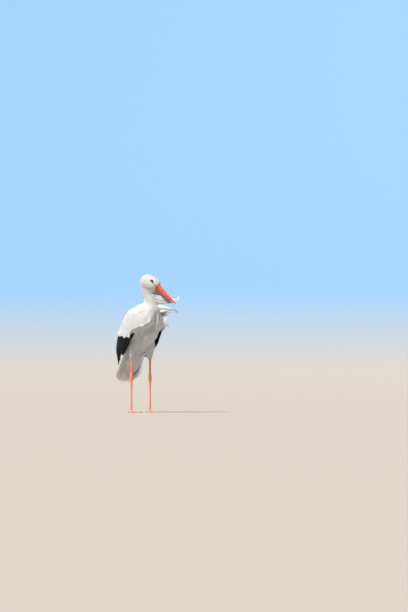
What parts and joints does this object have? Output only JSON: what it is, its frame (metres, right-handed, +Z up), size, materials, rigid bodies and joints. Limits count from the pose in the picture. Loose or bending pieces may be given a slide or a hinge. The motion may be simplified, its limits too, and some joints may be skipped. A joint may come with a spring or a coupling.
{
  "type": "white stork",
  "caption": "Life-size still model of a white stork standing on both feet with folded wings, turned head and wind-lifted breast plumes.",
  "frame": {"origin": "on the floor, under the middle of the bird's box", "axes": "+Z up, -Y the way the breast faces, +X to the bird's left"},
  "size_m": [0.2572, 0.4516, 0.8287],
  "materials": {
    "white_plumage": "soft matt feathers",
    "black_plumage": "faintly glossy black feathers",
    "bill_horn": "satin red horn",
    "leg_skin": "scaly orange-red skin",
    "claw_horn": "dark horn",
    "eye_glass": "wet dark brown"
  },
  "bodies": {
    "root": {"bill_lower": "bill_horn", "bill_upper": "bill_horn", "breast_plume_lower": "white_plumage", "breast_plume_middle": "white_plumage", "breast_plume_upper": "white_plumage", "claw_hind_left": "claw_horn", "claw_hind_right": "claw_horn", "claw_inner_left": "claw_horn", "claw_inner_right": "claw_horn", "claw_middle_left": "claw_horn", "claw_middle_right": "claw_horn", "claw_outer_left": "claw_horn", "claw_outer_right": "claw_horn", "eye_left": "eye_glass", "eye_right": "eye_glass", "foot_left": "leg_skin", "foot_right": "leg_skin", "head": "white_plumage", "hock_left": "leg_skin", "hock_right": "leg_skin", "neck_lower": "white_plumage", "neck_middle": "white_plumage", "neck_upper": "white_plumage", "shank_left": "leg_skin", "shank_right": "leg_skin", "tail": "white_plumage", "tarsus_left": "leg_skin", "tarsus_right": "leg_skin", "thigh_left": "white_plumage", "thigh_right": "white_plumage", "toe_hind_left": "leg_skin", "toe_hind_right": "leg_skin", "toe_inner_left": "leg_skin", "toe_inner_right": "leg_skin", "toe_middle_left": "leg_skin", "toe_middle_right": "leg_skin", "toe_outer_left": "leg_skin", "toe_outer_right": "leg_skin", "trunk": "white_plumage", "undertail_coverts": "white_plumage", "wing_left_coverts": "white_plumage", "wing_left_primaries": "black_plumage", "wing_left_secondaries": "black_plumage", "wing_right_coverts": "white_plumage", "wing_right_primaries": "black_plumage", "wing_right_secondaries": "black_plumage"}
  },
  "joints": []
}
